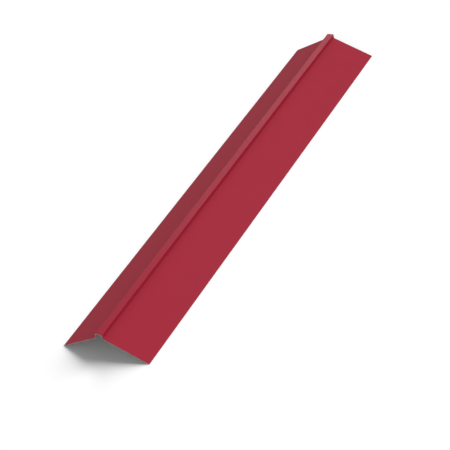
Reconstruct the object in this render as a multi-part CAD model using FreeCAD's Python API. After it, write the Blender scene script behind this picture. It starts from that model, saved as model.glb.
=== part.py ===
import FreeCAD, Part
import math
import os

# A roof ridge cap: one long strip of thin painted steel, folded along its length.
# It lies on its two long edges like an open book, and a square rib runs along the top.
# X goes across the roof, Y along the ridge and Z up. The origin is on the floor under
# the middle of the cap. Lengths are in millimetres and angles in degrees.

# The sheet that the cap is folded from
length = 2000.0
sheet_thickness = 0.5

# The folded shape, measured on the painted outside
wing_width = 190.0
angle_between_wings = 130.0
rib_width = 30.0
rib_height = 19.0

# The folds. Each radius and gap is the clear one on the inside of the fold.
bend_radius = 1.0
hem_width = 10.0
hem_gap = 0.5


def direction(angle):
    """A unit vector in the plane of the section, turned up from X by the angle."""
    return FreeCAD.Vector(math.cos(math.radians(angle)), 0, math.sin(math.radians(angle)))


def turned(point, centre, angle):
    """The point after a turn about the centre in the plane of the section, X towards Z."""
    turn = FreeCAD.Rotation(FreeCAD.Vector(0, -1, 0), angle)
    return centre + turn.multVec(point - centre)


def bend_edge(start, centre, angle):
    """The arc that one side of the sheet makes in a bend."""
    middle = turned(start, centre, angle / 2)
    end = turned(start, centre, angle)
    return Part.Arc(start, middle, end).toShape()


def setback(turn, radius):
    """How much of a flat a bend takes up on the side that has this radius."""
    return radius * math.tan(math.radians(abs(turn) / 2))


def folded_section(heading, flats, bends):
    """The section of a strip that is followed from one cut edge to the other.

    The painted side is on the left of the way forward. A flat is a length, and a bend is its
    turn to the left with its inside radius. A bend follows each flat but the last.
    """
    outside_edges = []
    inside_edges = []
    outside = FreeCAD.Vector(0, 0, 0)
    for number, flat in enumerate(flats):
        through = direction(heading - 90) * sheet_thickness
        end = outside + direction(heading) * flat
        outside_edges.append(Part.LineSegment(outside, end).toShape())
        inside_edges.append(Part.LineSegment(outside + through, end + through).toShape())
        outside = end
        if number == len(bends):
            break
        turn, radius = bends[number]
        to_centre = -radius if turn > 0 else radius + sheet_thickness
        centre = outside + direction(heading - 90) * to_centre
        outside_edges.append(bend_edge(outside, centre, turn))
        inside_edges.append(bend_edge(outside + through, centre, turn))
        outside = turned(outside, centre, turn)
        heading += turn
    first_cut = Part.LineSegment(
        outside_edges[0].firstVertex().Point, inside_edges[0].firstVertex().Point
    )
    last_cut = Part.LineSegment(
        outside_edges[-1].lastVertex().Point, inside_edges[-1].lastVertex().Point
    )
    edges = outside_edges + inside_edges + [first_cut.toShape(), last_cut.toShape()]
    outline = Part.Wire(Part.__sortEdges__(edges))
    return Part.Face(outline)


def ridge_cap():
    """The whole cap: hem, wing, rib, wing and hem, folded from the one strip."""
    slope = (180 - angle_between_wings) / 2

    # At the rib's foot the sheet turns from the wing's slope to upright, at its top it turns
    # level, and at each long edge it is folded flat back under the wing.
    foot_turn = 90 - slope
    top_turn = -90
    hem_turn = -180
    hem_radius = hem_gap / 2
    hem_outside_radius = hem_radius + sheet_thickness

    foot_setback = setback(foot_turn, bend_radius)
    top_setback = setback(top_turn, bend_radius + sheet_thickness)
    hem_flat = hem_width - hem_outside_radius
    wing_flat = wing_width - hem_outside_radius - foot_setback
    wall_flat = rib_height - foot_setback - top_setback
    top_flat = rib_width - 2 * top_setback

    flats = [hem_flat, wing_flat, wall_flat, top_flat, wall_flat, wing_flat, hem_flat]
    hem = (hem_turn, hem_radius)
    foot = (foot_turn, bend_radius)
    top = (top_turn, bend_radius)
    bends = [hem, foot, top, top, foot, hem]

    # The strip starts at the left hem's cut edge, which points down the left wing.
    section = folded_section(slope + 180, flats, bends)
    cap = section.extrude(FreeCAD.Vector(0, length, 0))

    # The cap lies on the outside of its two hems, with its middle over the origin.
    box = cap.optimalBoundingBox(False, False)
    cap.translate(FreeCAD.Vector(-box.Center.x, -box.Center.y, -box.ZMin))
    return cap


parts = {"ridge_cap": ridge_cap()}

os.makedirs("parts", exist_ok=True)
for name, shape in parts.items():
    shape.exportStep("parts/" + name + ".step")
    box = shape.optimalBoundingBox(False, False)
    print(name, shape.ShapeType, len(shape.Solids), "valid", shape.isValid())
    print("size", round(box.XLength, 3), round(box.YLength, 3), round(box.ZLength, 3))
    print("volume in cubic centimetres", round(shape.Volume / 1000, 2))
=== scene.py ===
import math

import bmesh
import bpy
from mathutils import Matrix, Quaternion, Vector


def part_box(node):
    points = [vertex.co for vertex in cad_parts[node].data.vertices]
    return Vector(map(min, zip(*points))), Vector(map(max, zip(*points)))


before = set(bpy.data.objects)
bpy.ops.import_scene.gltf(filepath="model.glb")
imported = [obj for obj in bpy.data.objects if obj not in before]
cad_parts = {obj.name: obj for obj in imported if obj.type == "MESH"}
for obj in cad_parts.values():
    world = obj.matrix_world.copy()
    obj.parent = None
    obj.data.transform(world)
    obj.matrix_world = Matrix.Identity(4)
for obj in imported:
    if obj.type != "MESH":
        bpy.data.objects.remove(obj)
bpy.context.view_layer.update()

# The ridge cap is one strip of galvanised steel, 0.5 mm thick, that a coil line has painted and a
# folding machine has bent into two wings, a square rib between them and a closed hem on each long
# edge. A guillotine has cut its ends square, and they show the bare metal.

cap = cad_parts["ridge_cap"]
cap_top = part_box("ridge_cap")[1].z

MM = 0.001
SHEET_THICKNESS = 0.5 * MM
HEM_GAP = 0.5 * MM
RIB_WIDTH = 30 * MM
RIB_HEIGHT = 19 * MM
WING_SLOPE = math.radians(25)


def colour(hex_code):
    """A colour written as sRGB hex, turned to the linear values that the shaders take."""
    channels = [int(hex_code[i : i + 2], 16) / 255 for i in (0, 2, 4)]
    return [c / 12.92 if c <= 0.04045 else ((c + 0.055) / 1.055) ** 2.4 for c in channels] + [1]


def add_node(tree, kind, sockets=None, **settings):
    """Adds a node. A socket is given a plain value, or another node's output to link from."""
    node = tree.nodes.new(kind)
    for name, value in settings.items():
        setattr(node, name, value)
    for name, value in (sockets or {}).items():
        if isinstance(value, bpy.types.NodeSocket):
            tree.links.new(value, node.inputs[name])
        else:
            node.inputs[name].default_value = value
    return node


# A Mix node calls its two sockets A and B for every kind of value, so they go by number.
VECTOR_A, VECTOR_B, MIXED_VECTOR = 4, 5, 1
COLOUR_A, COLOUR_B, MIXED_COLOUR = 6, 7, 2

# Coil-coated steel is roller painted as a flat strip and folded after that. To the eye its face is
# an even, matt to semi-gloss red, its back a dull grey, and each cut edge a thin line of bare zinc.
steel = bpy.data.materials.new("coil_coated_steel_roller_painted_and_folded")
steel.use_nodes = True
tree = steel.node_tree
tree.nodes.clear()
place = add_node(tree, "ShaderNodeTexCoord").outputs["Object"]
facing = add_node(tree, "ShaderNodeNewGeometry").outputs["True Normal"]

# Both sides of the ridge are the same and both ends too, so every place and facing is mirrored to
# the far half of the right wing, and one test does for all of them.
right_place = add_node(
    tree, "ShaderNodeVectorMath", {0: place}, operation="ABSOLUTE"
).outputs["Vector"]
side = add_node(tree, "ShaderNodeVectorMath", {0: place}, operation="SIGN").outputs["Vector"]
right_facing = add_node(
    tree, "ShaderNodeVectorMath", {0: facing, 1: side}, operation="MULTIPLY"
).outputs["Vector"]
wing_out = Vector((math.sin(WING_SLOPE), 0, math.cos(WING_SLOPE)))
wing_down = Vector((math.cos(WING_SLOPE), 0, -math.sin(WING_SLOPE)))
ridge_end = Vector((0, 1, 0))

# The hem is turned under at the middle of its gap. Above that the paint looks out of the wing or
# down it, and below that it looks into the cap or down the wing.
rib_foot = Vector((RIB_WIDTH / 2, 0, cap_top - RIB_HEIGHT))
hem_middle = wing_out.dot(rib_foot) - SHEET_THICKNESS - HEM_GAP / 2
offset = add_node(
    tree, "ShaderNodeVectorMath", {0: right_place, 1: wing_out}, operation="DOT_PRODUCT"
).outputs["Value"]
turned_under = add_node(
    tree, "ShaderNodeMath", {0: offset, 1: hem_middle}, operation="LESS_THAN"
).outputs["Value"]
paint_side = add_node(
    tree,
    "ShaderNodeMix",
    {"Factor": turned_under, VECTOR_A: wing_down + wing_out, VECTOR_B: wing_down - wing_out},
    data_type="VECTOR",
).outputs[MIXED_VECTOR]
paint_share = add_node(
    tree, "ShaderNodeVectorMath", {0: right_facing, 1: paint_side}, operation="DOT_PRODUCT"
).outputs["Value"]
painted = add_node(
    tree, "ShaderNodeMath", {0: paint_share, 1: 0}, operation="GREATER_THAN"
).outputs["Value"]

# The ends face along the ridge, and the cut edge of each hem faces back up the wing.
CUT_LIMIT = 0.98
cut_share = add_node(
    tree,
    "ShaderNodeVectorMath",
    {0: right_facing, 1: ridge_end - wing_down},
    operation="DOT_PRODUCT",
).outputs["Value"]
cut = add_node(
    tree, "ShaderNodeMath", {0: cut_share, 1: CUT_LIMIT}, operation="GREATER_THAN"
).outputs["Value"]

# Thin sheet is never quite flat: shallow waves run along the wings, longer than they are wide.
WAVE_LENGTH = 320 * MM
WAVE_WIDTH = 145 * MM
WAVE_DEPTH = 0.25 * MM
wave_place = add_node(
    tree,
    "ShaderNodeMapping",
    {"Vector": place, "Scale": (1 / WAVE_WIDTH, 1 / WAVE_LENGTH, 1 / WAVE_WIDTH)},
).outputs["Vector"]
wave = add_node(
    tree, "ShaderNodeTexNoise", {"Vector": wave_place, "Scale": 1, "Detail": 1, "Roughness": 0.4}
).outputs["Fac"]
waved = add_node(
    tree, "ShaderNodeBump", {"Strength": 1, "Distance": WAVE_DEPTH, "Height": wave}
).outputs["Normal"]

# The paint dries with a faint orange peel. Its cells are about 1 mm, and are drawn at 5 mm to show.
PEEL_SIZE = 5 * MM
PEEL_DEPTH = 0.006 * MM
peel = add_node(
    tree,
    "ShaderNodeTexNoise",
    {"Vector": place, "Scale": 1 / PEEL_SIZE, "Detail": 2, "Roughness": 0.5},
).outputs["Fac"]
surface = add_node(
    tree,
    "ShaderNodeBump",
    {"Strength": 1, "Distance": PEEL_DEPTH, "Height": peel, "Normal": waved},
).outputs["Normal"]

# The roller lays the ruby red in a shade that drifts a little over a hand's breadth.
DRIFT_SIZE = 90 * MM
DEEPER_RUBY = colour("9D2135")
LIGHTER_RUBY = colour("A22337")
drift = add_node(
    tree,
    "ShaderNodeTexNoise",
    {"Vector": place, "Scale": 1 / DRIFT_SIZE, "Detail": 3, "Roughness": 0.55},
).outputs["Fac"]
ruby = add_node(
    tree,
    "ShaderNodeMix",
    {"Factor": drift, COLOUR_A: DEEPER_RUBY, COLOUR_B: LIGHTER_RUBY},
    data_type="RGBA",
).outputs[MIXED_COLOUR]

# The back has only a thin grey backing coat, and the cut edges have none, so they show the zinc.
BACKING_GREY = colour("B9BBB8")
BARE_ZINC = colour("DFE1E2")
both_coats = add_node(
    tree,
    "ShaderNodeMix",
    {"Factor": painted, COLOUR_A: BACKING_GREY, COLOUR_B: ruby},
    data_type="RGBA",
).outputs[MIXED_COLOUR]
coats_and_zinc = add_node(
    tree,
    "ShaderNodeMix",
    {"Factor": cut, COLOUR_A: both_coats, COLOUR_B: BARE_ZINC},
    data_type="RGBA",
).outputs[MIXED_COLOUR]

# The paint is a low-gloss polyester. All of its shine is in the coat, at a fifth of a full
# lacquer's, and the base adds none, so that the wing seen at a slant keeps its deep red.
finish = add_node(
    tree,
    "ShaderNodeBsdfPrincipled",
    {
        "Base Color": coats_and_zinc,
        "Metallic": cut,
        "Roughness": 0.45,
        "Specular IOR Level": 0,
        "Normal": surface,
        "Coat Weight": 0.2,
        "Coat Roughness": 0.36,
        "Coat Normal": surface,
    },
)
add_node(tree, "ShaderNodeOutputMaterial", {"Surface": finish.outputs["BSDF"]})
for material_slot in cap.material_slots:
    material_slot.material = steel

# The studio floor is a sheet of white paper, laid flat as one piece, and wide enough to reach the
# horizon from low views. It takes the cap's soft shadow.

FLOOR_SIZE = 80
floor_mesh = bpy.data.meshes.new("studio_floor")
floor_bm = bmesh.new()
bmesh.ops.create_grid(floor_bm, x_segments=1, y_segments=1, size=FLOOR_SIZE / 2)
floor_bm.to_mesh(floor_mesh)
floor_bm.free()
floor = bpy.data.objects.new("studio_floor", floor_mesh)
bpy.context.scene.collection.objects.link(floor)


def looked_at(tree):
    """1 where the camera sees a thing by itself, in a shine or through glass, and 0 elsewhere."""
    ray = add_node(tree, "ShaderNodeLightPath").outputs
    seen_or_shone = add_node(
        tree,
        "ShaderNodeMath",
        {0: ray["Is Camera Ray"], 1: ray["Is Glossy Ray"]},
        operation="MAXIMUM",
    ).outputs["Value"]
    return add_node(
        tree,
        "ShaderNodeMath",
        {0: seen_or_shone, 1: ray["Is Transmission Ray"]},
        operation="MAXIMUM",
    ).outputs["Value"]


# Uncoated paper is matt and has no shine. The open floor gets about 0.9 of the light that white
# needs, so it is seen a little over white, while the light that it sends up to the cap is greyer.
PAPER_SEEN = 1.12
PAPER_GREY = colour("C4C4C4")
paper = bpy.data.materials.new("white_uncoated_paper")
paper.use_nodes = True
tree = paper.node_tree
tree.nodes.clear()
paper_colour = add_node(
    tree,
    "ShaderNodeMix",
    {
        "Factor": looked_at(tree),
        COLOUR_A: PAPER_GREY,
        COLOUR_B: (PAPER_SEEN, PAPER_SEEN, PAPER_SEEN, 1),
    },
    data_type="RGBA",
).outputs[MIXED_COLOUR]
matt_paper = add_node(tree, "ShaderNodeBsdfDiffuse", {"Color": paper_colour})
add_node(tree, "ShaderNodeOutputMaterial", {"Surface": matt_paper.outputs["BSDF"]})
floor_mesh.materials.append(paper)

# The light is that of a pale room with a large soft lamp beyond the far right corner, a weaker one
# beyond the far left corner, and a weak one on the camera's side that lifts the cut ends.

ROOM_LIGHT = 0.2
BACKDROP_LIGHT = 1
WHITE = colour("FFFFFF")
room = bpy.data.worlds.new("pale_room")
room.use_nodes = True
bpy.context.scene.world = room
tree = room.node_tree
tree.nodes.clear()
room_light = add_node(tree, "ShaderNodeBackground", {"Color": WHITE, "Strength": ROOM_LIGHT})
backdrop = add_node(tree, "ShaderNodeBackground", {"Color": WHITE, "Strength": BACKDROP_LIGHT})
room_or_backdrop = add_node(
    tree,
    "ShaderNodeMixShader",
    {
        "Fac": looked_at(tree),
        1: room_light.outputs["Background"],
        2: backdrop.outputs["Background"],
    },
)
add_node(tree, "ShaderNodeOutputWorld", {"Surface": room_or_backdrop.outputs["Shader"]})


def add_soft_lamp(name, azimuth, elevation, width, strength):
    """A lamp far away, in degrees: azimuth 0 is on the right and 90 beyond the far end.

    A strength of 1 lights a white card that faces the lamp to full white.
    """
    light = bpy.data.lights.new(name, "SUN")
    light.angle = math.radians(width)
    light.energy = strength * math.pi
    lamp = bpy.data.objects.new(name, light)
    around = math.radians(azimuth)
    up = math.radians(elevation)
    reach = math.cos(up)
    to_lamp = Vector((math.cos(around) * reach, math.sin(around) * reach, math.sin(up)))
    lamp.rotation_mode = "QUATERNION"
    lamp.rotation_quaternion = to_lamp.to_track_quat("Z", "Y")
    bpy.context.scene.collection.objects.link(lamp)


add_soft_lamp("far_right_lamp", azimuth=46, elevation=37, width=40, strength=0.78)
add_soft_lamp("far_left_lamp", azimuth=115, elevation=35, width=28, strength=0.33)
add_soft_lamp("near_lamp", azimuth=290, elevation=22, width=30, strength=0.14)

# The camera stands beyond the near right corner and looks down at a place over the right wing, as
# high as the rib. It is turned a little about its own line of sight.

CAMERA_AZIMUTH = math.radians(37.64)
CAMERA_ELEVATION = math.radians(36.42)
CAMERA_ROLL = math.radians(-15.87)
CAMERA_DISTANCE = 5.125
AIM_ACROSS = 0.1682
AIM_ALONG = -0.3402
SENSOR_WIDTH = 36
FOCAL_LENGTH = 108.65
camera_aim = Vector((AIM_ACROSS, AIM_ALONG, cap_top))
look = Vector(
    (
        -math.sin(CAMERA_AZIMUTH) * math.cos(CAMERA_ELEVATION),
        math.cos(CAMERA_AZIMUTH) * math.cos(CAMERA_ELEVATION),
        -math.sin(CAMERA_ELEVATION),
    )
)
camera_data = bpy.data.cameras.new("camera")
camera_data.sensor_width = SENSOR_WIDTH
camera_data.lens = FOCAL_LENGTH
camera = bpy.data.objects.new("camera", camera_data)
camera.location = camera_aim - look * CAMERA_DISTANCE
camera.rotation_mode = "QUATERNION"
camera.rotation_quaternion = look.to_track_quat("-Z", "Y") @ Quaternion((0, 0, 1), CAMERA_ROLL)
bpy.context.scene.collection.objects.link(camera)
bpy.context.scene.camera = camera
bpy.context.scene.view_settings.view_transform = "Standard"
